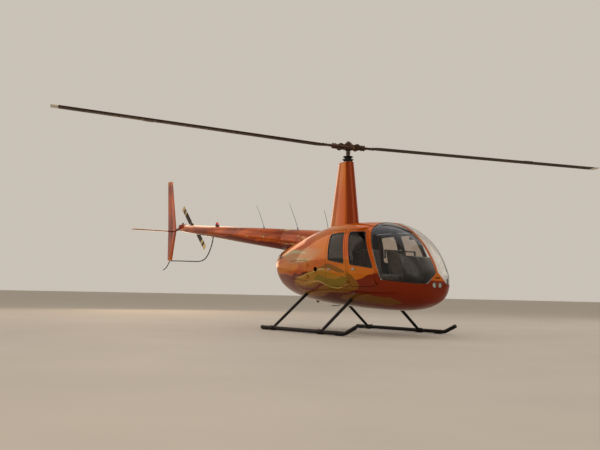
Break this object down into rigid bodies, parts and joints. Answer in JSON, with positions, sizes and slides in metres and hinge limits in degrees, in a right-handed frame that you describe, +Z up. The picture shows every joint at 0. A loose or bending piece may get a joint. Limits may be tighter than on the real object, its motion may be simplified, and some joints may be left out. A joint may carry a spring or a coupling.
{
  "type": "light helicopter",
  "caption": "Light helicopter with a closed cabin, hinged doors, a main rotor on a tall faired mast, a slim tail boom with a guarded tail rotor, and skid landing gear",
  "frame": {"origin": "on the ground plane under the skids, in the middle of the whole length; the plane of symmetry of the body is y = 0", "axes": "+X forward, +Y to the left, +Z up, with the main rotor stopped as in the picture"},
  "size_m": [8.9812, 9.4522, 3.5505],
  "materials": {
    "orange_panel": "gloss",
    "orange_metal": "gloss",
    "red_paint": "gloss",
    "window": "polished",
    "black_metal": "satin",
    "black_trim": "satin",
    "bronze_metal": "satin",
    "blade_paint": "satin",
    "bare_steel": "satin",
    "engine_metal": "matte",
    "cabin_lining": "matte",
    "seat_cloth": "matte",
    "lamp_glass": "polished",
    "red_lens": "gloss"
  },
  "bodies": {
    "airframe": {"leg_front_right": "black_metal", "leg_rear_right": "black_metal", "windshield_right": "window", "seat_cushion_front_right": "seat_cloth", "seat_back_front_right": "seat_cloth", "position_lamp_right": "red_lens", "skid_right": "black_metal", "leg_front_left": "black_metal", "leg_rear_left": "black_metal", "windshield_left": "window", "seat_cushion_front_left": "seat_cloth", "seat_back_front_left": "seat_cloth", "position_lamp_left": "red_lens", "skid_left": "black_metal", "windshield_bow_with_compass": "orange_panel", "tail_boom": "orange_metal", "engine_cowling": "orange_panel", "rear_grille": "black_trim", "engine_block": "engine_metal", "exhaust_tailpipe": "bare_steel", "cabin_shell": "orange_panel", "cabin_bulkhead": "cabin_lining", "cabin_floor": "cabin_lining", "seat_cushion_rear": "seat_cloth", "seat_back_rear": "seat_cloth", "instrument_console": "black_trim", "cyclic_stick": "black_trim", "collective_lever": "black_trim", "mast_fairing": "orange_panel", "swashplate_lower": "black_metal", "tail_gearbox": "red_paint", "fin_upper": "orange_metal", "fin_lower": "orange_metal", "horizontal_stabilizer": "red_paint", "tail_rotor_guard": "black_metal", "tail_skid": "black_metal", "antenna_rear": "black_trim", "antenna_middle": "black_trim", "antenna_front": "black_trim", "beacon": "red_lens", "landing_lamps": "lamp_glass"},
    "door_front_right": {"door_front_right": "orange_panel", "door_window_front_right": "window"},
    "door_rear_right": {"door_rear_right": "orange_panel", "door_window_rear_right": "window"},
    "cowl_door_right": {"cowl_door_right": "orange_panel"},
    "door_front_left": {"door_front_left": "orange_panel", "door_window_front_left": "window"},
    "door_rear_left": {"door_rear_left": "orange_panel", "door_window_rear_left": "window"},
    "cowl_door_left": {"cowl_door_left": "orange_panel"},
    "main_rotor": {"rotor_shaft": "bare_steel", "swashplate_upper_with_links": "black_metal", "rotor_hub": "bronze_metal", "rotor_blade_a": "blade_paint", "rotor_blade_b": "blade_paint"},
    "tail_rotor": {"tail_rotor_hub": "bronze_metal", "tail_rotor_blade_a": "blade_paint", "tail_rotor_blade_b": "blade_paint"}
  },
  "joints": [
    {"name": "door_front_right_hinge", "type": "hinge", "parent": "airframe", "child": "door_front_right", "pos_m": [3.738, -0.624, 0.82], "axis": [0, 0, 1], "range_deg": [0, 80]},
    {"name": "door_rear_right_hinge", "type": "hinge", "parent": "airframe", "child": "door_rear_right", "pos_m": [3.107, -0.655, 0.82], "axis": [-0.1474, 0, 0.9891], "range_deg": [0, 80]},
    {"name": "cowl_door_right_hinge", "type": "hinge", "parent": "airframe", "child": "cowl_door_right", "pos_m": [1.97, -0.599, 0.93], "axis": [0, 0, 1], "range_deg": [0, 100]},
    {"name": "door_front_left_hinge", "type": "hinge", "parent": "airframe", "child": "door_front_left", "pos_m": [3.738, 0.624, 0.82], "axis": [0, 0, -1], "range_deg": [0, 80]},
    {"name": "door_rear_left_hinge", "type": "hinge", "parent": "airframe", "child": "door_rear_left", "pos_m": [3.107, 0.655, 0.82], "axis": [0.1474, 0, -0.9891], "range_deg": [0, 80]},
    {"name": "cowl_door_left_hinge", "type": "hinge", "parent": "airframe", "child": "cowl_door_left", "pos_m": [1.97, 0.599, 0.93], "axis": [0, 0, -1], "range_deg": [0, 100]},
    {"name": "main_rotor_spin", "type": "hinge", "parent": "airframe", "child": "main_rotor", "pos_m": [2.328, 0, 3], "axis": [0, 0, 1], "continuous": true},
    {"name": "tail_rotor_spin", "type": "hinge", "parent": "airframe", "child": "tail_rotor", "pos_m": [-3.565, 0.28, 2.1], "axis": [0, -1, 0], "continuous": true}
  ],
  "couplings": [
    {"joint": "tail_rotor_spin", "follows": "main_rotor_spin", "ratio": 5.95}
  ]
}
